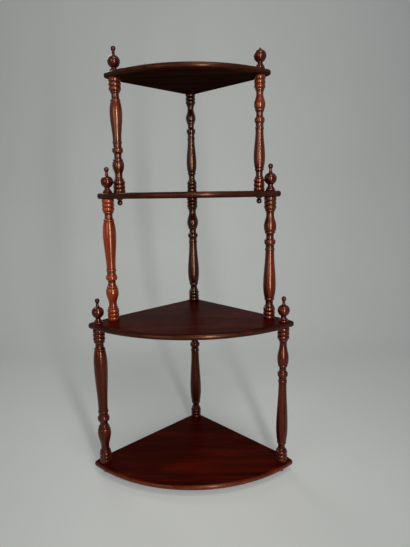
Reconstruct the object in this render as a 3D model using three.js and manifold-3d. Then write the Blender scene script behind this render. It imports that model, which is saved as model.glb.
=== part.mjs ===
// Corner shelf unit in polished mahogany: four quarter-round shelves on nine turned spindles.
// Millimetres, +Z up. The shelves' square rear corner points along +Y, their bowed front along -Y.
// The origin lies under the middle of the bottom shelf, on the surface that the drops stand on.

import * as THREE from 'three';
import { mergeVertices } from 'three/addons/utils/BufferGeometryUtils.js';
import Module from 'manifold-3d';

// Shelves: the top one's radius from the rear corner to the front edge, and what all have alike
const topShelfRadius = 255;
const shelfThickness = 13;
const shelfTipRounding = 6;

// Clear heights between the shelves, which are the lengths of the spindles
const topTierHeight = 240;
const middleTierHeight = 271;
const bottomTierHeight = 320;

// Turned spindles, which differ a little in girth from one to the next
const topLeftSpindleDiameter = 27;
const topRightSpindleDiameter = 25;
const topRearSpindleDiameter = 25;
const middleLeftSpindleDiameter = 29;
const middleRightSpindleDiameter = 28.2;
const middleRearSpindleDiameter = 29;
const bottomLeftSpindleDiameter = 30.8;
const bottomRightSpindleDiameter = 26.2;
const bottomRearSpindleDiameter = 29.4;
const endRingDiameter = 26.5;
const slenderEndRingDiameter = 24;
const endRingPitch = 8.8;

// Turned finials: a foot that was left longer or shorter from one to the next, and a body on it
const finialDiameter = 27;
const finialFootHeight = 13.4;
const topLeftFinialFootHeight = 7.5;
const topRearFinialFootHeight = 16.5;
const upperLeftFinialFootHeight = 11.5;
const finialBodyHeight = 43.6;
const wornFinialBodyHeight = 28.6;

// Turned drops
const dropHeight = 15;
const dropDiameter = 14;

// Where the spindles stand: from the tip of the shelf, and clear of the walls and of the finials
const spindleFromTipAbove = 15;
const bottomSpindleFromTip = 19;
const frontWallGap = 6.6;
const rearWallGap = 0.8;
const upperFinialGap = 4.25;
const lowerFinialGap = 13.25;

// Double-ended screws and the bores that they sit in
const screwDiameter = 4.5;
const screwPointLength = 3;
const screwInSpindle = 16;
const screwInFinial = 14;
const screwInDrop = 8;
const boreClearance = 0.3;
const cutOverrun = 1;

// How finely the round shapes are divided
const turningSides = 12;
const screwSides = 8;
const shelfSidesInCircle = 96;
const shelfRimSteps = 6;
const shelfTipSteps = 4;
const holeSides = 12;
const mergeDistance = 1e-4;

const endRingsInStack = 3;
const wallAngle = Math.PI / 4;

// Each shelf reaches beyond the one above by what a finial takes beside a spindle
const finialRoom = (finialDiameter + endRingDiameter) / 2;
const upperShelfRadius = topShelfRadius + finialRoom + upperFinialGap;
const lowerShelfRadius = upperShelfRadius + finialRoom + lowerFinialGap;
const bottomShelfRadius = lowerShelfRadius - spindleFromTipAbove + bottomSpindleFromTip;
const fullestRearSpindle = Math.max(
  topRearSpindleDiameter, middleRearSpindleDiameter, bottomRearSpindleDiameter,
);
const frontSpindleInset = bottomLeftSpindleDiameter / 2 + frontWallGap;
const rearSpindleInset = fullestRearSpindle / 2 + rearWallGap;
const rearCornerY = bottomShelfRadius / 2;

// A ring's crest and the groove beside it, as shares of the end ring's radius
const ringCrestShare = 1;
const ringGrooveShare = 0.88;
const ringFaceShare = 0.93;

// Middle of a spindle, from the short bulb's end to the long vase's end. Each row is where it stands, as
// a share of the middle's length and millimetres beyond that, how much of the spindle's radius it has,
// and in how many steps the curve gets there.
const spindleMiddle = [
  [0, 11.6, 0.62, 1],
  [0.17, 0, 0.96, 3],
  [0.225, -1.5, 0.80, 2],
  [0.225, 3.5, 0.77, 1],
  [0.225, 11, 0.60, 2],
  [0.225, 16.5, 0.72, 1],
  [0.225, 22.2, 0.87, 1],
  [0.225, 27.5, 0.74, 1],
  [0.225, 33.5, 0.67, 1],
  [0.225, 39.0, 0.73, 1],
  [0.225, 42.5, 0.68, 1],
  [0.87, -21.3, 1.00, 4],
  [1, -24, 0.71, 3],
  [1, -19.6, 0.77, 1],
  [1, -15.5, 0.68, 1],
  [1, -8, 0.60, 1],
];

// Finial from the shelf up: each row is a share of the foot's or the body's height and of the radius
const finialFoot = [
  [0.00, 0.74],
  [0.28, 0.74],
  [0.34, 0.61],
  [0.54, 0.61],
  [0.88, 0.43],
];
const finialOnion = [
  [0.00, 0.46],
  [0.06, 0.71],
  [0.14, 0.89],
  [0.29, 1.00],
  [0.40, 0.93],
  [0.48, 0.76],
  [0.535, 0.54],
];
const finialStem = [
  [0.58, 0.36],
  [0.65, 0.25],
  [0.74, 0.23],
];
const finialBallDiameterShare = 0.4;
const finialBallSteps = 5;

// The worn finial has the same foot and onion and ends in a blunt point
const wornFinialPoint = [
  [0.58, 0.30],
  [0.62, 0.17],
];

// Drop from the shelf down: each row is a share of its height and of its radius
const dropCollar = [
  [0.00, 1.00],
  [0.13, 1.00],
  [0.22, 0.56],
];
const dropBallDiameterShare = 0.86;
const dropBallSteps = 5;

const wood = {
  shelf: { color: 0x3f120b, roughness: 0.22, metalness: 0 },
  spindle: { color: 0x74301f, roughness: 0.28, metalness: 0 },
  finial: { color: 0x5c2318, roughness: 0.28, metalness: 0 },
  drop: { color: 0x3a1610, roughness: 0.35, metalness: 0 },
};
const steel = { color: 0x8f8c86, roughness: 0.4, metalness: 0.9 };

const wasm = await Module();
wasm.setup();

// Solid from a closed surface, with the corners that its faces share merged
function solidOf(geometry) {
  const bare = geometry.clone();
  bare.deleteAttribute('normal');
  bare.deleteAttribute('uv');
  const merged = mergeVertices(bare, mergeDistance);
  const corners = merged.getAttribute('position').array;
  const index = merged.getIndex().array;
  const kept = [];
  for (let i = 0; i < index.length; i += 3) {
    const [a, b, c] = [index[i], index[i + 1], index[i + 2]];
    if (a !== b && b !== c && c !== a) kept.push(a, b, c);
  }
  return new wasm.Manifold(new wasm.Mesh({
    numProp: 3,
    vertProperties: new Float32Array(corners),
    triVerts: new Uint32Array(kept),
  }));
}

// Surface of a solid
function geometryOf(solid) {
  const mesh = solid.getMesh();
  const geometry = new THREE.BufferGeometry();
  geometry.setAttribute('position', new THREE.BufferAttribute(new Float32Array(mesh.vertProperties), 3));
  geometry.setIndex(new THREE.BufferAttribute(new Uint32Array(mesh.triVerts), 1));
  geometry.computeVertexNormals();
  return geometry;
}

// A turned body about Z from its outline, given as [radius, height] from bottom to top
function turned(outline, sides) {
  const points = outline.map(([radius, height]) => new THREE.Vector2(radius, height));
  const geometry = new THREE.LatheGeometry(points, sides);
  geometry.rotateX(Math.PI / 2);
  return geometry;
}

// Carries an outline on to the next station along a smooth S curve
function easeTo(outline, radius, height, steps) {
  const [startRadius, startHeight] = outline[outline.length - 1];
  for (let i = 1; i <= steps; i += 1) {
    const t = i / steps;
    const eased = (1 - Math.cos(Math.PI * t)) / 2;
    outline.push([startRadius + (radius - startRadius) * eased, startHeight + (height - startHeight) * t]);
  }
}

// Adds a ball on top of an outline, closed on the axis at its pole
function addBall(outline, radius, poleHeight, steps) {
  const [neckRadius] = outline[outline.length - 1];
  const centre = poleHeight - radius;
  const start = Math.asin(neckRadius / radius) - Math.PI / 2;
  for (let i = 1; i <= steps; i += 1) {
    const angle = start + (Math.PI / 2 - start) * (i / steps);
    outline.push([i < steps ? radius * Math.cos(angle) : 0, centre + radius * Math.sin(angle)]);
  }
}

const boreRadius = screwDiameter / 2 + boreClearance;

// Spindle standing on z = 0 with the short bulb below, bored at both ends
function spindleOutline(length, diameter, ringDiameter) {
  const radius = diameter / 2;
  const ringRadius = ringDiameter / 2;
  const stack = endRingPitch * endRingsInStack;
  const boreDepth = screwInSpindle + boreClearance;
  const outline = [[0, boreDepth], [boreRadius, boreDepth], [boreRadius, 0], [ringRadius * ringFaceShare, 0]];
  for (let i = 0; i < endRingsInStack; i += 1) {
    outline.push([ringRadius * ringCrestShare, endRingPitch * (i + 1 / 2)]);
    outline.push([ringRadius * ringGrooveShare, endRingPitch * (i + 1)]);
  }
  const middle = length - 2 * stack;
  for (const [share, beyond, width, steps] of spindleMiddle) {
    easeTo(outline, radius * width, stack + middle * share + beyond, steps);
  }
  outline.push([ringRadius * ringGrooveShare, length - stack]);
  for (let i = 0; i < endRingsInStack; i += 1) {
    outline.push([ringRadius * ringCrestShare, length - stack + endRingPitch * (i + 1 / 2)]);
    const face = i + 1 < endRingsInStack ? ringGrooveShare : ringFaceShare;
    outline.push([ringRadius * face, length - stack + endRingPitch * (i + 1)]);
  }
  outline.push([boreRadius, length], [boreRadius, length - boreDepth], [0, length - boreDepth]);
  return outline;
}

// Finial on z = 0, bored from below: with its stem and ball, or worn down to a point
function finial(footHeight, worn) {
  const radius = finialDiameter / 2;
  const boreDepth = screwInFinial + boreClearance;
  const outline = [[0, boreDepth], [boreRadius, boreDepth], [boreRadius, 0]];
  for (const [up, width] of finialFoot) outline.push([radius * width, footHeight * up]);
  for (const [up, width] of [...finialOnion, ...(worn ? wornFinialPoint : finialStem)]) {
    outline.push([radius * width, footHeight + finialBodyHeight * up]);
  }
  if (worn) {
    outline.push([0, footHeight + wornFinialBodyHeight]);
  } else {
    addBall(outline, radius * finialBallDiameterShare, footHeight + finialBodyHeight, finialBallSteps);
  }
  return turned(outline, turningSides);
}

// Drop hanging below z = 0, bored from above
function drop() {
  const radius = dropDiameter / 2;
  const boreDepth = screwInDrop + boreClearance;
  const outline = [[0, boreDepth], [boreRadius, boreDepth], [boreRadius, 0]];
  for (const [down, width] of dropCollar) outline.push([radius * width, dropHeight * down]);
  addBall(outline, radius * dropBallDiameterShare, dropHeight, dropBallSteps);
  const geometry = turned(outline, turningSides);
  geometry.rotateX(Math.PI);
  return geometry;
}

// Screw from z = 0 up, pointed at both ends
function screw(length) {
  const radius = screwDiameter / 2;
  return turned([[0, 0], [radius, screwPointLength], [radius, length - screwPointLength], [0, length]], screwSides);
}

// Quarter-round board from z = 0 up, its rear corner on the Z axis, with holes at the given places
function shelfBoard(radius, holes) {
  const rimRadius = shelfThickness / 2;
  const profile = [[0, 0]];
  for (let i = 0; i <= shelfRimSteps; i += 1) {
    const angle = Math.PI * (i / shelfRimSteps - 1 / 2);
    profile.push([radius - rimRadius + rimRadius * Math.cos(angle), rimRadius + rimRadius * Math.sin(angle)]);
  }
  profile.push([0, shelfThickness]);
  const disc = solidOf(turned(profile, shelfSidesInCircle));

  // Corner wedge that trims the disc, its two tips rounded where wall edge and front edge meet
  const tipReach = radius - shelfTipRounding;
  const tipAngle = Math.asin(shelfTipRounding / tipReach);
  const leftTip = -Math.PI / 2 - wallAngle + tipAngle;
  const rightTip = -Math.PI / 2 + wallAngle - tipAngle;
  const outside = radius + radius / 2;
  const outline = new THREE.Shape();
  outline.moveTo(outside * Math.cos(leftTip), outside * Math.sin(leftTip));
  outline.lineTo(outside * Math.cos(rightTip), outside * Math.sin(rightTip));
  outline.absarc(
    tipReach * Math.cos(rightTip), tipReach * Math.sin(rightTip), shelfTipRounding, rightTip, wallAngle, false,
  );
  outline.lineTo(0, 0);
  outline.absarc(
    tipReach * Math.cos(leftTip), tipReach * Math.sin(leftTip), shelfTipRounding,
    Math.PI - wallAngle, 2 * Math.PI + leftTip, false,
  );
  outline.closePath();
  const wedge = new THREE.ExtrudeGeometry(outline, {
    depth: shelfThickness + 2 * cutOverrun,
    bevelEnabled: false,
    curveSegments: shelfTipSteps,
  });
  wedge.translate(0, 0, -cutOverrun);

  let board = disc.intersect(solidOf(wedge));
  for (const [x, y] of holes) {
    const hole = new THREE.CylinderGeometry(boreRadius, boreRadius, shelfThickness + 2 * cutOverrun, holeSides);
    hole.rotateX(Math.PI / 2);
    hole.translate(x, y, shelfThickness / 2);
    board = board.subtract(solidOf(hole));
  }
  return geometryOf(board);
}

const unit = new THREE.Group();

function add(name, geometry, look, x, y, z) {
  const mesh = new THREE.Mesh(geometry, new THREE.MeshStandardMaterial(look));
  mesh.name = name;
  mesh.position.set(x, rearCornerY + y, z);
  unit.add(mesh);
}

// Place beside a wall, from the rear corner: how far along the wall and how far in from it
function besideWall(side, along, inset) {
  return [side * (along - inset) * Math.sin(wallAngle), -(along + inset) * Math.cos(wallAngle)];
}

const sides = [['left', -1], ['right', 1]];
const rearPlace = besideWall(1, rearSpindleInset, rearSpindleInset);

const shelves = [
  { name: 'top', radius: topShelfRadius },
  { name: 'upper', radius: upperShelfRadius },
  { name: 'lower', radius: lowerShelfRadius },
  { name: 'bottom', radius: bottomShelfRadius },
];
const tiers = [
  {
    name: 'top',
    height: topTierHeight,
    left: [topLeftSpindleDiameter, endRingDiameter],
    right: [topRightSpindleDiameter, slenderEndRingDiameter],
    rear: [topRearSpindleDiameter, slenderEndRingDiameter],
  },
  {
    name: 'middle',
    height: middleTierHeight,
    left: [middleLeftSpindleDiameter, endRingDiameter],
    right: [middleRightSpindleDiameter, endRingDiameter],
    rear: [middleRearSpindleDiameter, endRingDiameter],
  },
  {
    name: 'bottom',
    height: bottomTierHeight,
    left: [bottomLeftSpindleDiameter, endRingDiameter],
    right: [bottomRightSpindleDiameter, endRingDiameter],
    rear: [bottomRearSpindleDiameter, endRingDiameter],
  },
];
let level = dropHeight;
for (let i = shelves.length - 1; i >= 0; i -= 1) {
  shelves[i].underside = level;
  shelves[i].topside = level + shelfThickness;
  if (i > 0) level = shelves[i].topside + tiers[i - 1].height;
}

// Front spindles of the tier below a shelf stand this far along the wall
const reachUnder = (shelf) => shelf.radius - spindleFromTipAbove;

shelves.forEach((shelf, i) => {
  const holes = [rearPlace];
  for (const [, side] of sides) {
    if (i < tiers.length) holes.push(besideWall(side, reachUnder(shelf), frontSpindleInset));
    if (i > 0) holes.push(besideWall(side, reachUnder(shelves[i - 1]), frontSpindleInset));
  }
  add(`shelf_${shelf.name}`, shelfBoard(shelf.radius, holes), wood.shelf, 0, 0, shelf.underside);
});

// Left spindles have the short bulb below, right and rear ones have it on top
tiers.forEach((tier, i) => {
  const under = shelves[i];
  const on = shelves[i + 1];
  for (const [sideName, side] of sides) {
    const [x, y] = besideWall(side, reachUnder(under), frontSpindleInset);
    const geometry = turned(spindleOutline(tier.height, ...tier[sideName]), turningSides);
    if (side > 0) geometry.rotateX(Math.PI).translate(0, 0, tier.height);
    add(`spindle_${tier.name}_${sideName}`, geometry, wood.spindle, x, y, on.topside);
  }
  const rear = turned(spindleOutline(tier.height, ...tier.rear), turningSides);
  rear.rotateX(Math.PI).translate(0, 0, tier.height);
  add(`spindle_${tier.name}_rear`, rear, wood.spindle, ...rearPlace, on.topside);
});

// Finials stand on the three upper shelves over the front spindles, and one in the top rear corner
const finialFeet = { top_left: topLeftFinialFootHeight, upper_left: upperLeftFinialFootHeight };
shelves.slice(0, tiers.length).forEach((shelf, i) => {
  for (const [sideName, side] of sides) {
    const [x, y] = besideWall(side, reachUnder(shelf), frontSpindleInset);
    const foot = finialFeet[`${shelf.name}_${sideName}`] ?? finialFootHeight;
    const worn = i === 0 && side > 0;
    add(`finial_${shelf.name}_${sideName}`, finial(foot, worn), wood.finial, x, y, shelf.topside);
    const start = shelf.underside - screwInSpindle;
    const length = screwInSpindle + shelfThickness + screwInFinial;
    const place = i === 0 ? sideName : `outer_${sideName}`;
    add(`dowel_screw_${shelf.name}_${place}`, screw(length), steel, x, y, start);
  }
});
add('finial_top_rear', finial(topRearFinialFootHeight, false), wood.finial, ...rearPlace, shelves[0].topside);

// Drops hang under the three lower shelves below the spindles that stand on them
shelves.slice(1).forEach((shelf, i) => {
  const last = i === tiers.length - 1;
  for (const [sideName, side] of sides) {
    const [x, y] = besideWall(side, reachUnder(shelves[i]), frontSpindleInset);
    add(`drop_${shelf.name}_${sideName}`, drop(), wood.drop, x, y, shelf.underside);
    const start = shelf.underside - screwInDrop;
    const length = screwInDrop + shelfThickness + screwInSpindle;
    const place = last ? sideName : `inner_${sideName}`;
    add(`dowel_screw_${shelf.name}_${place}`, screw(length), steel, x, y, start);
  }
});
const bottomShelf = shelves[shelves.length - 1];
add('drop_bottom_rear', drop(), wood.drop, ...rearPlace, bottomShelf.underside);

// Rear screws: finial to spindle at the top, spindle to spindle at the middle shelves, drop at the foot
shelves.forEach((shelf, i) => {
  const above = i === 0 ? screwInFinial : screwInSpindle;
  const below = i === shelves.length - 1 ? screwInDrop : screwInSpindle;
  const length = below + shelfThickness + above;
  add(`dowel_screw_${shelf.name}_rear`, screw(length), steel, ...rearPlace, shelf.underside - below);
});

export default unit;
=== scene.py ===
import math

import bmesh
import bpy
from mathutils import Matrix, Vector


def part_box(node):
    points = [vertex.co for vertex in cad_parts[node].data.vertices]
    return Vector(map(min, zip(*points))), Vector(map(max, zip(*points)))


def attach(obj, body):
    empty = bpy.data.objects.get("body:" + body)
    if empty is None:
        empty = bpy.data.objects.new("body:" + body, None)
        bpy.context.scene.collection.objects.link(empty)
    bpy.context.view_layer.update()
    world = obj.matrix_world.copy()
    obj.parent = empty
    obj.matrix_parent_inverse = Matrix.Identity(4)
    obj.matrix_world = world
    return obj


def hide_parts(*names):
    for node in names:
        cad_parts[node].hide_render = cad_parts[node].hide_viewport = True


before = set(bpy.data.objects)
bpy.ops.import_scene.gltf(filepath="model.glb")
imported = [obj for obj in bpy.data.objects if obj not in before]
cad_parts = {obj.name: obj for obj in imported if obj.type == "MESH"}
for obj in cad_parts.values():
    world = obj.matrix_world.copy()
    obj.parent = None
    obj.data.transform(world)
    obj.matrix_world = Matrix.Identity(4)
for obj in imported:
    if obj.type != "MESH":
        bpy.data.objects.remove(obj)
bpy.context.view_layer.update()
MM = 0.001

# Shelves: four quarter-round boards of half-inch mahogany, polished on top and along the bowed front
# edge, which is worked to a half round, and only stained underneath. The rear edges stay square and the
# tips are eased. Each board has a hole for every screw that passes through it.
TIP_ROUNDING = 6 * MM
TIP_RIM = 5.5 * MM
TIP_RUN = 10 * MM
TIP_FADE = 14 * MM
WALL_EDGE_RIM = 0.6 * MM
REAR_CORNER_ROUNDING = 2 * MM
FLAT_MARGIN = 0.4 * MM
SCREW_BORE = 5.1 * MM
FRONT_STEPS = 96
TIP_STEPS = 12
WALL_EDGE_STEPS = 40
RIM_STEPS = 6
HOLE_SIDES = 16
WALL = math.radians(45)
SHARP_EDGE = math.radians(40)


def colour(red, green, blue):
    """Shader colour from a paint colour of 0 to 255."""
    def linear(level):
        share = level / 255
        return share / 12.92 if share <= 0.04045 else ((share + 0.055) / 1.055) ** 2.4
    return (linear(red), linear(green), linear(blue), 1)


def add_node(tree, kind, sockets=(), **settings):
    """A node with its settings, its sockets filled with values or linked from other sockets."""
    made = tree.nodes.new(kind)
    for name, value in settings.items():
        setattr(made, name, value)
    for name, value in dict(sockets).items():
        if isinstance(value, bpy.types.NodeSocket):
            tree.links.new(value, made.inputs[name])
        else:
            made.inputs[name].default_value = value
    return made


def ramp(tree, factor, *stops):
    """A colour ramp through stops of (position, colour). A new one has two stops, and a third is added."""
    made = add_node(tree, "ShaderNodeValToRGB", {"Fac": factor})
    for i, (position, shade) in enumerate(stops):
        stop = made.color_ramp.elements[i] if i < 2 else made.color_ramp.elements.new(position)
        stop.position = position
        stop.color = shade
    return made.outputs["Color"]


def blend(tree, share, first, second, mode="MIX"):
    """Two colours mixed by a share. A Mix node has its colours at inputs 6 and 7 and at output 2."""
    made = add_node(
        tree, "ShaderNodeMix", {0: share, 6: first, 7: second}, data_type="RGBA", blend_type=mode)
    return made.outputs[2]


def combine(tree, operation, first, second):
    """Two numbers multiplied, added, or the larger of them."""
    return add_node(tree, "ShaderNodeMath", {0: first, 1: second}, operation=operation).outputs[0]


def remap(tree, value, start, end, low, high):
    """A number that runs from low to high while the value runs from start to end."""
    made = add_node(tree, "ShaderNodeMapRange", {
        "Value": value, "From Min": start, "From Max": end, "To Min": low, "To Max": high})
    return made.outputs["Result"]


def noise(tree, along, across, detail, roughness, warp=0.0):
    """Noise by its waves to the metre along and across the grain, so that it can run out into streaks."""
    place = add_node(tree, "ShaderNodeTexCoord").outputs["Object"]
    waves = [along if axis else across for axis in tree["grain"]]
    space = add_node(tree, "ShaderNodeMapping", {"Vector": place, "Scale": waves}).outputs["Vector"]
    made = add_node(tree, "ShaderNodeTexNoise", {
        "Vector": space, "Scale": 1, "Detail": detail, "Roughness": roughness, "Distortion": warp})
    return made.outputs["Fac"]


def bump(tree, height, strength, depth, under=None):
    """Normals of a fine relief, which lies on another one where that is given."""
    sockets = {"Height": height, "Strength": strength, "Distance": depth}
    if under is not None:
        sockets["Normal"] = under
    return add_node(tree, "ShaderNodeBump", sockets).outputs["Normal"]


# The wood's fine figure, how far wear, hollows and smears alter it, and the polish over it
STREAK_DARK = (0.62, 0.58, 0.56, 1)
STREAK_LIGHT = (1.12, 1.12, 1.12, 1)
STREAK_SHARE = 0.75
PORE_DARK = (0.45, 0.42, 0.40, 1)
NO_PORE = (1, 1, 1, 1)
PORE_SHARE = 0.6
WORN_SHARE = 0.7
# Hollows darken towards a very dark copy of the wood, for polish gathered there and as painted shade
HOLLOW_POLISH_AND_SHADE_SHARE = 0.92
HOLLOW_POLISH_AND_SHADE_DARKNESS = 0.3
SMEAR_GLOSSIER = 0.05
SMEAR_DULLER = 0.06
GRAIN_DEPTH = 0.2 * MM
COAT_ROUGHNESS = 0.16
COAT_IOR = 1.45
WARM_GLINT = (1, 0.46, 0.27, 1)


def mahogany(name, grain, shades, roughness, shine, coat, relief, lathe_marks=0.0, glint=WARM_GLINT):
    """Stained mahogany from its dark, middle and light shade and the shade where it is rubbed.

    It has a ribbon figure, fine streaks and open pores, is darker in hollows, for polish gathered there and
    as painted shade, and paler on rubbed crests, and has smears in its gloss and a relief along the grain.
    A turning also has the rings that the lathe leaves.
    """
    dark, middle, light, rubbed = [colour(*shade) for shade in shades]
    material = bpy.data.materials.new(name)
    material.use_nodes = True
    tree = material.node_tree
    tree["grain"] = grain
    shader = tree.nodes["Principled BSDF"]

    ribbon = noise(tree, along=4, across=34, detail=3, roughness=0.5, warp=0.6)
    figure = ramp(tree, ribbon, (0.30, dark), (0.68, light), (0.50, middle))
    streaks = noise(tree, along=16, across=420, detail=4, roughness=0.65)
    streak_shade = ramp(tree, streaks, (0.32, STREAK_DARK), (0.64, STREAK_LIGHT))
    figure = blend(tree, STREAK_SHARE, figure, streak_shade, "MULTIPLY")
    pores = noise(tree, along=130, across=1900, detail=2, roughness=0.5)
    pore_shade = ramp(tree, pores, (0.30, PORE_DARK), (0.42, NO_PORE))
    figure = blend(tree, PORE_SHARE, figure, pore_shade, "MULTIPLY")

    wear_and_shade_mark = add_node(tree, "ShaderNodeAttribute", attribute_name="rubbed").outputs["Fac"]
    patches = noise(tree, along=60, across=60, detail=3, roughness=0.6)
    worn = remap(
        tree, combine(tree, "MULTIPLY", wear_and_shade_mark, patches), start=0.15, end=0.8, low=0, high=WORN_SHARE)
    figure = blend(tree, worn, figure, rubbed)
    # Painted shade, together with polish gathered there, darkens the hollows
    hollow = remap(tree, wear_and_shade_mark, start=0, end=-0.8, low=0, high=HOLLOW_POLISH_AND_SHADE_SHARE)
    polish_and_shade_colour = tuple(part * HOLLOW_POLISH_AND_SHADE_DARKNESS for part in dark[:3]) + (1,)
    tree.links.new(blend(tree, hollow, figure, polish_and_shade_colour), shader.inputs["Base Color"])

    smears = noise(tree, along=22, across=22, detail=4, roughness=0.6, warp=0.4)
    dullness = remap(
        tree, smears, start=0.3, end=0.7, low=roughness - SMEAR_GLOSSIER, high=roughness + SMEAR_DULLER)
    tree.links.new(dullness, shader.inputs["Roughness"])
    normal = bump(tree, combine(tree, "ADD", pores, streaks), strength=relief, depth=GRAIN_DEPTH)
    if lathe_marks:
        rings = noise(tree, along=900, across=1.5, detail=1, roughness=0.5)
        normal = bump(tree, rings, strength=1, depth=lathe_marks, under=normal)
    tree.links.new(normal, shader.inputs["Normal"])
    shader.inputs["Specular IOR Level"].default_value = shine
    shader.inputs["Specular Tint"].default_value = glint
    shader.inputs["Coat Weight"].default_value = coat
    shader.inputs["Coat Roughness"].default_value = COAT_ROUGHNESS
    shader.inputs["Coat IOR"].default_value = COAT_IOR
    return material


ALONG_BOARD = (1, 0, 0)
polished_board = mahogany(
    "polished_board", ALONG_BOARD, ((39, 5, 1), (56, 8, 2), (76, 16, 4), (82, 29, 15)),
    roughness=0.36, shine=0.012, coat=0.0, relief=0.08)
polished_rim = mahogany(
    "polished_rim", ALONG_BOARD, ((14, 4, 1), (24, 7, 3), (38, 13, 6), (66, 27, 14)),
    roughness=0.28, shine=0.3, coat=0.05, relief=0.04)
# Paler rim for the bottom board: partly wear, partly painted light for the brighter light it caught
worn_and_lit_rim = mahogany(
    "worn_and_lit_rim", ALONG_BOARD, ((32, 3, 1), (52, 9, 3), (78, 24, 9), (128, 55, 29)),
    roughness=0.28, shine=0.35, coat=0.08, relief=0.04)
stained_underside = mahogany(
    "stained_underside", ALONG_BOARD, ((44, 27, 20), (58, 36, 27), (72, 45, 33), (80, 52, 38)),
    roughness=0.7, shine=0.0, coat=0.0, relief=0.4)


def eased(start, end, share):
    """A value on its way from start to end, slow at both."""
    return start + (end - start) * share * share * (3 - 2 * share)


def arc(centre, radius, start, end, steps, rim_start, rim_end):
    """Stations round an arc but for its last: place, outward direction and rim radius."""
    for i in range(steps):
        turn = start + (end - start) * i / steps
        out = Vector((math.cos(turn), math.sin(turn)))
        yield centre + radius * out, out, eased(rim_start, rim_end, i / steps)


def wall_edge(start, start_rounding, end, end_rounding, turn):
    """Stations along a straight rear edge between two rounded corners, where the half round dies out."""
    out = Vector((math.cos(turn), math.sin(turn)))
    start = start + out * start_rounding
    end = end + out * end_rounding
    tip = start if start_rounding == TIP_ROUNDING else end
    for i in range(WALL_EDGE_STEPS):
        place = start.lerp(end, eased(0, 1, i / WALL_EDGE_STEPS))
        yield place, out, eased(TIP_RIM, WALL_EDGE_RIM, min(1, (place - tip).length / TIP_FADE))


def board_outline(radius, thickness):
    """Counter-clockwise stations of a board whose rear corner is the origin, from its left tip."""
    full_rim = thickness / 2
    tip_reach = radius - TIP_ROUNDING
    tip_turn = math.asin(TIP_ROUNDING / tip_reach)
    left = -math.pi / 2 - WALL + tip_turn
    right = -math.pi / 2 + WALL - tip_turn
    run = TIP_RUN / radius
    origin = Vector((0, 0))
    stations = []
    stations += arc(origin, radius, left, left + run, TIP_STEPS, TIP_RIM, full_rim)
    stations += arc(origin, radius, left + run, right - run, FRONT_STEPS, full_rim, full_rim)
    stations += arc(origin, radius, right - run, right, TIP_STEPS, full_rim, TIP_RIM)
    right_tip = tip_reach * Vector((math.cos(right), math.sin(right)))
    left_tip = Vector((-right_tip.x, right_tip.y))
    corner = Vector((0, -REAR_CORNER_ROUNDING * math.sqrt(2)))
    stations += arc(right_tip, TIP_ROUNDING, right, WALL, TIP_STEPS, TIP_RIM, TIP_RIM)
    stations += wall_edge(right_tip, TIP_ROUNDING, corner, REAR_CORNER_ROUNDING, WALL)
    stations += arc(
        corner, REAR_CORNER_ROUNDING, WALL, math.pi - WALL, TIP_STEPS, WALL_EDGE_RIM, WALL_EDGE_RIM)
    stations += wall_edge(corner, REAR_CORNER_ROUNDING, left_tip, TIP_ROUNDING, math.pi - WALL)
    stations += arc(left_tip, TIP_ROUNDING, math.pi - WALL, 2 * math.pi + left, TIP_STEPS, TIP_RIM, TIP_RIM)
    return stations


def rim_profile(rim, thickness):
    """Inset and height from the underside up and round to the top, with a flat margin at both ends."""
    points = [(rim + FLAT_MARGIN, 0)]
    for i in range(RIM_STEPS + 1):
        turn = math.pi / 2 * (i / RIM_STEPS - 1)
        points.append((rim - rim * math.cos(turn), rim + rim * math.sin(turn)))
    for i in range(RIM_STEPS + 1):
        turn = math.pi / 2 * i / RIM_STEPS
        points.append((rim - rim * math.cos(turn), thickness - rim + rim * math.sin(turn)))
    points.append((rim + FLAT_MARGIN, thickness))
    return points


def circle(mesh, x, y, z, radius, sides):
    """Corners of a level ring."""
    turns = [2 * math.pi * i / sides for i in range(sides)]
    return [mesh.verts.new((x + radius * math.cos(turn), y + radius * math.sin(turn), z)) for turn in turns]


def ring_edges(mesh, ring):
    """The edges that close a ring of corners."""
    edges = []
    for a, b in zip(ring, ring[1:] + ring[:1]):
        edges.append(mesh.edges.get((a, b)) or mesh.edges.new((a, b)))
    return edges


def finish_piece(mesh, name, node, slot, *materials):
    """Turns a bmesh into a piece that rides with the unit and stands for its CAD node."""
    bmesh.ops.recalc_face_normals(mesh, faces=mesh.faces)
    for face in mesh.faces:
        face.smooth = True
    data = bpy.data.meshes.new(name)
    mesh.to_mesh(data)
    mesh.free()
    data.set_sharp_from_angle(angle=SHARP_EDGE)
    piece = bpy.data.objects.new(name, data)
    bpy.context.scene.collection.objects.link(piece)
    for material in materials:
        data.materials.append(material)
    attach(piece, "root")
    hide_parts(node)


# How far in from its rim a board gets rubbed, where the rim's and the underside's finish begin, and
# their places among its three finishes
RUBBED_BAND = 3 * MM
RIM_FROM_RUBBED = 0.1
UNDERSIDE_BAND = 0.1 * MM
RIM_FINISH = 1
UNDERSIDE_FINISH = 2


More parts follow.
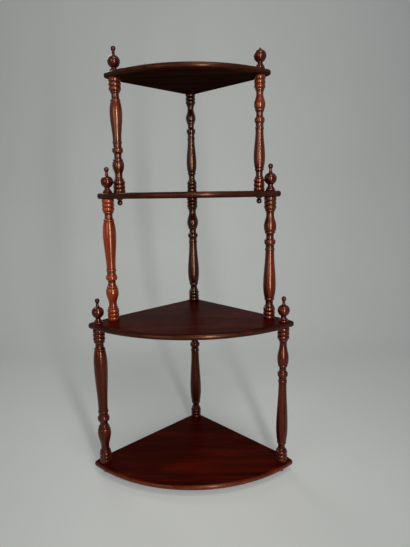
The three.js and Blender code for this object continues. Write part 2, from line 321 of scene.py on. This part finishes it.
def make_board(node, holes):
    """A board in the place of its CAD node, bored at the given places."""
    low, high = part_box(node)
    thickness = high.z - low.z
    corner = Vector((0, high.y))
    mesh = bmesh.new()
    rubbed = mesh.verts.layers.float.new("rubbed")
    rows = []
    for place, out, rim in board_outline(high.y - low.y, thickness):
        row = []
        for inset, height in rim_profile(rim, thickness):
            point = corner + place - out * inset
            vert = mesh.verts.new((point.x, point.y, low.z + height))
            vert[rubbed] = max(0, 1 - inset / RUBBED_BAND) * rim / (thickness / 2)
            row.append(vert)
        rows.append(row)
    for row, after in zip(rows, rows[1:] + rows[:1]):
        for i in range(len(row) - 1):
            mesh.faces.new((row[i], after[i], after[i + 1], row[i + 1]))
    bottom_edges = ring_edges(mesh, [row[0] for row in rows])
    top_edges = ring_edges(mesh, [row[-1] for row in rows])
    for x, y in holes:
        below = circle(mesh, x, y, low.z, SCREW_BORE / 2, HOLE_SIDES)
        above = circle(mesh, x, y, high.z, SCREW_BORE / 2, HOLE_SIDES)
        bottom_edges += ring_edges(mesh, below)
        top_edges += ring_edges(mesh, above)
        for i in range(HOLE_SIDES):
            j = (i + 1) % HOLE_SIDES
            mesh.faces.new((below[i], below[j], above[j], above[i]))
    bmesh.ops.triangle_fill(mesh, edges=bottom_edges, use_beauty=True)
    bmesh.ops.triangle_fill(mesh, edges=top_edges, use_beauty=True)
    mesh.normal_update()
    for face in mesh.faces:
        if max(vert[rubbed] for vert in face.verts) > RIM_FROM_RUBBED:
            face.material_index = RIM_FINISH
        elif face.calc_center_median().z < low.z + UNDERSIDE_BAND:
            face.material_index = UNDERSIDE_FINISH
    # The bottom board's rim is paler, partly from wear and partly as painted light
    rim_wood = worn_and_lit_rim if node == "shelf_bottom" else polished_rim
    finish_piece(mesh, f"{node}_board", node, "shelf", polished_board, rim_wood, stained_underside)


def axis_of(node):
    """Where a turning's centre line stands."""
    low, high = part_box(node)
    return (low.x + high.x) / 2, (low.y + high.y) / 2


SHELF_NAMES = ("top", "upper", "lower", "bottom")
TIER_NAMES = ("top", "middle", "bottom")
for i, shelf in enumerate(SHELF_NAMES):
    places = [axis_of("spindle_bottom_rear")]
    for side in ("left", "right"):
        if i < len(TIER_NAMES):
            places.append(axis_of(f"spindle_{TIER_NAMES[i]}_{side}"))
        if i > 0:
            places.append(axis_of(f"spindle_{TIER_NAMES[i - 1]}_{side}"))
    make_board(f"shelf_{shelf}", places)

# Spindles: nine mahogany turnings of one pattern, in a length for each tier, with a long vase, a bead
# and a short bulb between stacks of rings. The left ones stand on the bulb's end, the others on the
# vase's end. Both ends are bored for the dowel screws that clamp the boards.
TURNED_SIDES = 48
BORE_DEPTH = 16.3 * MM
END_RING = 26.5 * MM
SLENDER_END_RING = 24 * MM
END_RING_PITCH = 8.8 * MM
RINGS_IN_STACK = 3
RING_FACE_SHARE = 0.93
RING_GROOVE_SHARE = 0.86
CURVE_STEP = 1.5 * MM
CURVE_LEAST_STEPS = 6

# From the bulb's end up: share of the middle's length, how far beyond that, share of the radius, and
# the curve that leads there
SPINDLE_MIDDLE = (
    (0, 0.8 * MM, 0.74, "line"),
    (0, 2.4 * MM, 0.79, "flat_end"),
    (0, 4.0 * MM, 0.74, "flat_start"),
    (0, 4.4 * MM, 0.70, "line"),
    (0, 11.6 * MM, 0.61, "flat_end"),
    (0.17, 0, 0.97, "ogee"),
    (0.225, -1.5 * MM, 0.81, "flat_start"),
    (0.225, -1.1 * MM, 0.76, "line"),
    (0.225, 1.2 * MM, 0.81, "flat_end"),
    (0.225, 3.5 * MM, 0.76, "flat_start"),
    (0.225, 3.9 * MM, 0.71, "line"),
    (0.225, 11 * MM, 0.59, "flat_end"),
    (0.225, 16.5 * MM, 0.70, "flat_start"),
    (0.225, 16.9 * MM, 0.76, "line"),
    (0.225, 22.2 * MM, 0.88, "flat_end"),
    (0.225, 27.5 * MM, 0.76, "flat_start"),
    (0.225, 27.9 * MM, 0.73, "line"),
    (0.225, 33.5 * MM, 0.67, "flat_end"),
    (0.225, 36.4 * MM, 0.70, "flat_start"),
    (0.225, 36.8 * MM, 0.73, "line"),
    (0.225, 39.0 * MM, 0.76, "flat_end"),
    (0.225, 41.2 * MM, 0.73, "flat_start"),
    (0.225, 41.6 * MM, 0.69, "line"),
    (0.87, -21.3 * MM, 1.00, "ogee"),
    (1, -22.8 * MM, 0.79, "round_start"),
    (1, -22.2 * MM, 0.75, "line"),
    (1, -19.6 * MM, 0.80, "flat_end"),
    (1, -17.2 * MM, 0.74, "flat_start"),
    (1, -16.8 * MM, 0.69, "line"),
    (1, -9 * MM, 0.60, "flat_end"),
    (1, -4.4 * MM, 0.68, "flat_start"),
    (1, -4.0 * MM, 0.74, "line"),
    (1, -2.4 * MM, 0.79, "flat_end"),
    (1, -0.8 * MM, 0.74, "flat_start"),
)
HOLLOW_WINDOW = 4 * MM
HOLLOW_DEPTH = 1.1 * MM


def curve_shares(curve, share):
    """How far across and how far along a line, a flat curve or an ogee has come."""
    quarter = math.pi / 2 * share
    if curve == "flat_start":
        return 1 - math.cos(quarter), math.sin(quarter)
    if curve == "flat_end":
        return math.sin(quarter), 1 - math.cos(quarter)
    if curve == "ogee":
        return (1 - math.cos(math.pi * share)) / 2, share
    return share, share


def curve_to(outline, radius, height, curve):
    """Carries an outline on to the next station.

    A flat curve is a quarter ellipse that runs along the axis at one end, and an ogee does so at both
    ends. A round one is part of an ellipse about the axis, with its widest place at one end.
    """
    start_radius, start_height = outline[-1]
    rise = height - start_height
    steps = 1 if curve == "line" else max(CURVE_LEAST_STEPS, round(abs(rise) / CURVE_STEP))
    if curve in ("round_start", "round_end"):
        wide = max(radius, start_radius)
        span = math.acos(min(radius, start_radius) / wide)
    for i in range(1, steps + 1):
        share = i / steps
        if curve == "round_start":
            swing = span * share
            place = wide * math.cos(swing), start_height + rise * math.sin(swing) / math.sin(span)
        elif curve == "round_end":
            swing = span * (1 - share)
            place = wide * math.cos(swing), height - rise * math.sin(swing) / math.sin(span)
        else:
            across, along = curve_shares(curve, share)
            place = start_radius + (radius - start_radius) * across, start_height + rise * along
        outline.append(place)


def bored_end(depth, face):
    """Start of an outline: the bore for a screw, and the flat face about it out to its radius."""
    return [(0, depth), (SCREW_BORE / 2, depth), (SCREW_BORE / 2, 0), (face, 0)]


def add_rings(outline, radius, start, last_share):
    """A stack of half-round rings."""
    for i in range(RINGS_IN_STACK):
        base = start + END_RING_PITCH * i
        curve_to(outline, radius, base + END_RING_PITCH / 2, "flat_end")
        share = last_share if i == RINGS_IN_STACK - 1 else RING_GROOVE_SHARE
        curve_to(outline, radius * share, base + END_RING_PITCH, "flat_start")


def spindle_outline(length, girth, ring):
    """A spindle from the bulb's end up, by the vase's girth and the end rings' radius."""
    stack = END_RING_PITCH * RINGS_IN_STACK
    middle = length - 2 * stack
    outline = bored_end(BORE_DEPTH, ring * RING_FACE_SHARE)
    add_rings(outline, ring, 0, RING_GROOVE_SHARE)
    for share, beyond, width, curve in SPINDLE_MIDDLE:
        curve_to(outline, girth / 2 * width, stack + middle * share + beyond, curve)
    curve_to(outline, ring * RING_GROOVE_SHARE, length - stack, "line")
    add_rings(outline, ring, length - stack, RING_FACE_SHARE)
    outline += [(SCREW_BORE / 2, length), (SCREW_BORE / 2, length - BORE_DEPTH), (0, length - BORE_DEPTH)]
    return outline


def hollows(outline):
    """For each outline point, 1 on a rubbed crest and -1 in a hollow that gets polish and painted shade."""
    marks = []
    for radius, height in outline:
        near = [r for r, h in outline if abs(h - height) < HOLLOW_WINDOW and r > SCREW_BORE]
        proud = radius - sum(near) / len(near) if near else 0
        marks.append(max(-1, min(1, proud / HOLLOW_DEPTH)))
    return marks


def make_turning(node, slot, outline, material, upside_down=False):
    """A turned piece from its outline of (radius, height), standing where its CAD node stands."""
    low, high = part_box(node)
    x, y = axis_of(node)
    mesh = bmesh.new()
    rubbed = mesh.verts.layers.float.new("rubbed")
    rings = []
    # The mark pales rubbed crests and darkens hollows, for polish gathered there and as painted shade
    for (radius, height), mark in zip(outline, hollows(outline)):
        z = high.z - height if upside_down else low.z + height
        ring = circle(mesh, x, y, z, radius, TURNED_SIDES if radius > 0 else 1)
        for vert in ring:
            vert[rubbed] = mark
        rings.append(ring)
    for ring, after in zip(rings, rings[1:]):
        for i in range(TURNED_SIDES):
            j = (i + 1) % TURNED_SIDES
            if len(ring) == 1:
                mesh.faces.new((ring[0], after[j], after[i]))
            elif len(after) == 1:
                mesh.faces.new((ring[i], ring[j], after[0]))
            else:
                mesh.faces.new((ring[i], ring[j], after[j], after[i]))
    finish_piece(mesh, f"{node}_turned", node, slot, material)


ALONG_TURNING = (0, 0, 1)
SPINDLE_ROUGHNESS = 0.26
TURNING_RELIEF = 0.04
LATHE_MARKS = 0.12 * MM
RED_GLINT = (1, 0.34, 0.20, 1)


def spindle_wood(name, shades, shine, coat, glint=WARM_GLINT):
    """The spindles' finish, in copies whose lightness is partly stain and partly painted light and shade.
    """
    return mahogany(
        name, ALONG_TURNING, shades, SPINDLE_ROUGHNESS, shine, coat, TURNING_RELIEF, LATHE_MARKS, glint)


# Copies of one wood, differing partly in stain and partly as painted light and shade; this is the lit one
lit_amber_spindle = spindle_wood(
    "lit_amber_spindle", ((68, 15, 3), (113, 38, 11), (152, 64, 24), (140, 60, 26)), shine=0.75, coat=0.35)
russet_spindle = spindle_wood(
    "russet_spindle", ((40, 7, 2), (71, 22, 6), (104, 40, 14), (94, 36, 15)), shine=0.7, coat=0.35)
chestnut_spindle = spindle_wood(
    "chestnut_spindle", ((33, 4, 1), (59, 13, 3), (86, 25, 8), (78, 25, 9)), shine=0.6, coat=0.35)
# Darker copy that paints the shade of the rear corner
rear_shade_spindle = spindle_wood(
    "rear_shade_spindle", ((14, 2, 1), (26, 5, 2), (41, 12, 4), (38, 12, 5)), shine=0.5, coat=0.3)
# Darker copies that paint the shade of the bottom tier, darkest in its rear corner
low_shade_spindle = spindle_wood(
    "low_shade_spindle", ((30, 4, 1), (52, 10, 3), (76, 20, 8), (70, 22, 10)),
    shine=0.6, coat=0.25, glint=RED_GLINT)
low_rear_shade_spindle = spindle_wood(
    "low_rear_shade_spindle", ((18, 3, 1), (31, 7, 2), (46, 13, 5), (42, 13, 5)),
    shine=0.45, coat=0.1, glint=RED_GLINT)

# Girth of the vase in millimetres, girth of the end rings, and finish
SPINDLES = {
    "spindle_top_left": (27.0, END_RING, russet_spindle),
    "spindle_top_right": (25.0, SLENDER_END_RING, russet_spindle),
    "spindle_top_rear": (25.0, SLENDER_END_RING, rear_shade_spindle),
    "spindle_middle_left": (29.0, END_RING, lit_amber_spindle),
    "spindle_middle_right": (28.2, END_RING, chestnut_spindle),
    "spindle_middle_rear": (29.0, END_RING, rear_shade_spindle),
    "spindle_bottom_left": (30.8, END_RING, low_shade_spindle),
    "spindle_bottom_right": (26.2, END_RING, low_shade_spindle),
    "spindle_bottom_rear": (29.4, END_RING, low_rear_shade_spindle),
}
for spindle, (girth, end_ring, wood) in SPINDLES.items():
    low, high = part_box(spindle)
    make_turning(
        spindle, "spindle", spindle_outline(high.z - low.z, girth * MM, end_ring / 2), wood,
        upside_down=not spindle.endswith("left"))

# Finials: small mahogany turnings on the three upper shelves over the front spindles, and one in the top
# rear corner: two rings, a neck, an onion that draws in to a thin stem, and a ball. Each screws down on
# its board. The one at the top right has lost its ball and ends in a worn point.
FINIAL_GIRTH = 27 * MM
FINIAL_BODY = 43.6 * MM
WORN_FINIAL_BODY = 28.6 * MM
FINIAL_BORE_DEPTH = 14.3 * MM
FINIAL_FOOT_SHARE = 0.70
FINIAL_BALL_SHARE = 0.4
WORN_POINT_SHARE = 0.19
BALL_STEPS = 14
FINIAL_GLINT = (1, 0.38, 0.26, 1)

# Up the foot, and then up a whole finial's body: share of its height, share of the radius, and the
# curve that leads there
FINIAL_FOOT = (
    (0.14, 0.76, "flat_end"),
    (0.28, 0.71, "flat_start"),
    (0.31, 0.60, "line"),
    (0.43, 0.65, "flat_end"),
    (0.55, 0.60, "flat_start"),
    (0.58, 0.54, "line"),
    (0.92, 0.43, "flat_end"),
    (1.00, 0.45, "line"),
)
FINIAL_ONION = (
    (0.29, 1.00, "round_end"),
    (0.53, 0.56, "round_start"),
)
FINIAL_STEM = (
    (0.645, 0.25, "flat_end"),
    (0.73, 0.23, "line"),
    (0.755, 0.26, "flat_start"),
)
WORN_FINIAL_POINT = (
    (0.61, 0.17, "flat_end"),
)


def add_ball(outline, radius, pole):
    """A ball at the end of an outline, closed on the axis at its pole."""
    neck = outline[-1][0]
    start = math.asin(neck / radius) - math.pi / 2
    for i in range(1, BALL_STEPS):
        turn = start + (math.pi / 2 - start) * i / BALL_STEPS
        outline.append((radius * math.cos(turn), pole - radius + radius * math.sin(turn)))
    outline.append((0, pole))


def finial_outline(height, body, end, ball_share):
    """A finial from its board up, by its height, its body's height and what ends it."""
    radius = FINIAL_GIRTH / 2
    foot = height - body
    outline = bored_end(FINIAL_BORE_DEPTH, radius * FINIAL_FOOT_SHARE)
    for up, width, curve in FINIAL_FOOT:
        curve_to(outline, radius * width, foot * up, curve)
    for up, width, curve in FINIAL_ONION + end:
        curve_to(outline, radius * width, foot + FINIAL_BODY * up, curve)
    add_ball(outline, radius * ball_share, height)
    return outline


polished_finial = mahogany(
    "polished_finial", ALONG_TURNING, ((28, 2, 1), (48, 7, 3), (70, 14, 8), (80, 27, 18)),
    roughness=0.24, shine=0.5, coat=0.3, relief=TURNING_RELIEF, glint=FINIAL_GLINT)

for finial in sorted(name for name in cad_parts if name.startswith("finial")):
    low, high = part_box(finial)
    if finial == "finial_top_right":
        outline = finial_outline(high.z - low.z, WORN_FINIAL_BODY, WORN_FINIAL_POINT, WORN_POINT_SHARE)
    else:
        outline = finial_outline(high.z - low.z, FINIAL_BODY, FINIAL_STEM, FINIAL_BALL_SHARE)
    make_turning(finial, "finial", outline, polished_finial)

# Drops: little turned mahogany balls on a collar, screwed up under the front spindles of all three tiers
# and under the rear spindle of the lowest. The three under the bottom shelf are the unit's feet.
DROP_GIRTH = 14 * MM
DROP_BORE_DEPTH = 8.3 * MM
DROP_FACE_SHARE = 0.9
DROP_BALL_SHARE = 0.86

# From the board down: share of the height, share of the radius, and the curve that leads there
DROP_COLLAR = (
    (0.065, 1.00, "flat_end"),
    (0.130, 0.92, "flat_start"),
    (0.150, 0.74, "line"),
    (0.220, 0.56, "flat_end"),
)

polished_drop = mahogany(
    "polished_drop", ALONG_TURNING, ((18, 7, 4), (30, 11, 7), (46, 18, 11), (56, 26, 17)),
    roughness=0.32, shine=0.9, coat=0.3, relief=TURNING_RELIEF)

for drop in sorted(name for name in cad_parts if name.startswith("drop")):
    low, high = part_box(drop)
    height = high.z - low.z
    outline = bored_end(DROP_BORE_DEPTH, DROP_GIRTH / 2 * DROP_FACE_SHARE)
    for down, width, curve in DROP_COLLAR:
        curve_to(outline, DROP_GIRTH / 2 * width, height * down, curve)
    add_ball(outline, DROP_GIRTH / 2 * DROP_BALL_SHARE, height)
    make_turning(drop, "drop", outline, polished_drop, upside_down=True)

# Dowel screws: plain steel, pointed at both ends. Each passes through a board and draws the turnings
# above and below it together, so none of them shows.
STEEL_DARK = (0.32, 0.31, 0.30, 1)
STEEL_LIGHT = (0.58, 0.57, 0.55, 1)
SCRATCH_STRENGTH = 0.3
SCRATCH_DEPTH = 0.05 * MM

steel = bpy.data.materials.new("plain_steel")
steel.use_nodes = True
tree = steel.node_tree
tree["grain"] = ALONG_TURNING
shader = tree.nodes["Principled BSDF"]
shader.inputs["Metallic"].default_value = 1
drawn = noise(tree, along=300, across=2500, detail=3, roughness=0.6)
tree.links.new(ramp(tree, drawn, (0.3, STEEL_DARK), (0.7, STEEL_LIGHT)), shader.inputs["Base Color"])
tree.links.new(remap(tree, drawn, start=0.3, end=0.7, low=0.28, high=0.5), shader.inputs["Roughness"])
tree.links.new(bump(tree, drawn, SCRATCH_STRENGTH, SCRATCH_DEPTH), shader.inputs["Normal"])
for name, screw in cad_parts.items():
    if name.startswith("dowel_screw"):
        screw.data.materials.clear()
        screw.data.materials.append(steel)

# Studio: a plain pale sweep below and behind, a tall narrow light beside the camera, a broad weaker one
# from the left, one overhead for the boards, a weak one behind and one for the backdrop. Narrow spreads
# keep them off the floor in front, and the camera sees none of them.
SWEEP_WIDTH = 7
SWEEP_FRONT = -3.5
SWEEP_BACK = 1.5
SWEEP_TOP = 3.6
SWEEP_BEND = 0.8
SWEEP_BEND_STEPS = 16
SWEEP_COLOUR = (0.47, 0.495, 0.49, 1)
SWEEP_GLOW = (0.155, 0.163, 0.161, 1)
SWEEP_BOUNCE = (0.22, 0.23, 0.22, 1)
SWEEP_MOTTLE = 1.04
SWEEP_ROUGHNESS = 0.9
SWEEP_SHINE = 0.1
NO_GRAIN = (0, 0, 0)
SKY_COLOUR = (0.95, 0.98, 1.0, 1)
SKY_FILL = 0.09
SKY_SHOWN = 0.28
UNIT_MIDDLE = (0, 0, 0.48)


def shown(tree):
    """1 for rays that show the background, also in gloss or glass, and 0 for those that carry its light."""
    path = add_node(tree, "ShaderNodeLightPath").outputs
    seen = path["Is Camera Ray"]
    for way in ("Is Glossy Ray", "Is Transmission Ray"):
        seen = combine(tree, "MAXIMUM", seen, path[way])
    return seen


backdrop = bmesh.new()
section = [(SWEEP_FRONT, 0), (SWEEP_BACK - SWEEP_BEND, 0)]
for i in range(1, SWEEP_BEND_STEPS + 1):
    turn = math.pi / 2 * i / SWEEP_BEND_STEPS
    section.append((
        SWEEP_BACK - SWEEP_BEND + SWEEP_BEND * math.sin(turn), SWEEP_BEND - SWEEP_BEND * math.cos(turn)))
section.append((SWEEP_BACK, SWEEP_TOP))
strips = [[backdrop.verts.new((x, y, z)) for x in (-SWEEP_WIDTH / 2, SWEEP_WIDTH / 2)] for y, z in section]
for strip, after in zip(strips, strips[1:]):
    backdrop.faces.new((strip[0], strip[1], after[1], after[0])).smooth = True
sweep_data = bpy.data.meshes.new("sweep")
backdrop.to_mesh(sweep_data)
backdrop.free()
sweep = bpy.data.objects.new("sweep", sweep_data)
bpy.context.scene.collection.objects.link(sweep)
paper = bpy.data.materials.new("pale_paper")
paper.use_nodes = True
tree = paper.node_tree
tree["grain"] = NO_GRAIN
shader = tree.nodes["Principled BSDF"]
mottle = noise(tree, along=3, across=3, detail=2, roughness=0.5)
mottled = tuple(part * SWEEP_MOTTLE for part in SWEEP_COLOUR[:3]) + (1,)
pale = ramp(tree, mottle, (0.3, SWEEP_COLOUR), (0.7, mottled))
seen = shown(tree)
tree.links.new(blend(tree, seen, SWEEP_BOUNCE, pale), shader.inputs["Base Color"])
tree.links.new(seen, shader.inputs["Emission Strength"])
shader.inputs["Emission Color"].default_value = SWEEP_GLOW
shader.inputs["Roughness"].default_value = SWEEP_ROUGHNESS
shader.inputs["Specular IOR Level"].default_value = SWEEP_SHINE
sweep_data.materials.append(paper)

world = bpy.data.worlds.new("studio")
bpy.context.scene.world = world
world.use_nodes = True
tree = world.node_tree
sky = tree.nodes["Background"]
sky.inputs["Color"].default_value = SKY_COLOUR
strength = remap(tree, shown(tree), start=0, end=1, low=SKY_FILL, high=SKY_SHOWN)
tree.links.new(strength, sky.inputs["Strength"])


def add_light(name, place, target, width, height, power, spread, tint):
    """A rectangular light that points at its target and that the camera doesn't see."""
    light = bpy.data.lights.new(name, "AREA")
    light.shape = "RECTANGLE"
    light.size = width
    light.size_y = height
    light.energy = power
    light.spread = math.radians(spread)
    light.color = tint
    lamp = bpy.data.objects.new(name, light)
    bpy.context.scene.collection.objects.link(lamp)
    lamp.location = place
    lamp.rotation_euler = (Vector(place) - Vector(target)).to_track_quat("Z", "Y").to_euler()
    lamp.visible_camera = False


add_light(
    "tall_light", (0.31, -1.15, 0.68), (0, 0, 0.56),
    width=0.085, height=1.15, power=5.3, spread=100, tint=(1.0, 0.92, 0.84))
add_light(
    "left_light", (-1.13, -2.10, 1.00), UNIT_MIDDLE,
    width=0.9, height=1.3, power=2.1, spread=75, tint=(1.0, 0.96, 0.92))
add_light(
    "overhead_light", (0.37, -1.10, 2.60), UNIT_MIDDLE,
    width=0.9, height=0.6, power=2.6, spread=75, tint=(1.0, 0.96, 0.92))
add_light(
    "rear_light", (-0.75, 1.15, 1.75), UNIT_MIDDLE,
    width=0.8, height=0.9, power=1.5, spread=80, tint=(1.0, 0.95, 0.90))
add_light(
    "backdrop_light", (0, 0.45, 2.50), (0, 1.5, 1.0),
    width=2.0, height=0.3, power=1.7, spread=80, tint=(1.0, 0.98, 0.96))

# Camera: stands in front of the unit at the height of the upper shelf, turned a little to the left, and
# looks a little down.
CAMERA_PLACE = Vector((0.04606, -1.03975, 0.63973))
CAMERA_YAW = math.radians(-0.770)
CAMERA_PITCH = math.radians(-9.911)
CAMERA_ROLL = math.radians(-0.804)
FOCAL_PIXELS = 454.78
FRAME_HEIGHT_PIXELS = 547
SENSOR = 36

ahead = Vector((
    math.sin(CAMERA_YAW) * math.cos(CAMERA_PITCH), math.cos(CAMERA_YAW) * math.cos(CAMERA_PITCH),
    math.sin(CAMERA_PITCH)))
level = Vector((math.cos(CAMERA_YAW), -math.sin(CAMERA_YAW), 0))
upward = level.cross(ahead)
right = level * math.cos(CAMERA_ROLL) + upward * math.sin(CAMERA_ROLL)
up = upward * math.cos(CAMERA_ROLL) - level * math.sin(CAMERA_ROLL)
lens = bpy.data.cameras.new("camera")
lens.sensor_width = SENSOR
lens.lens = FOCAL_PIXELS / FRAME_HEIGHT_PIXELS * SENSOR
camera = bpy.data.objects.new("camera", lens)
bpy.context.scene.collection.objects.link(camera)
camera.matrix_world = Matrix.Translation(CAMERA_PLACE) @ Matrix((right, up, -ahead)).transposed().to_4x4()
bpy.context.scene.camera = camera
bpy.context.scene.view_settings.view_transform = "Standard"
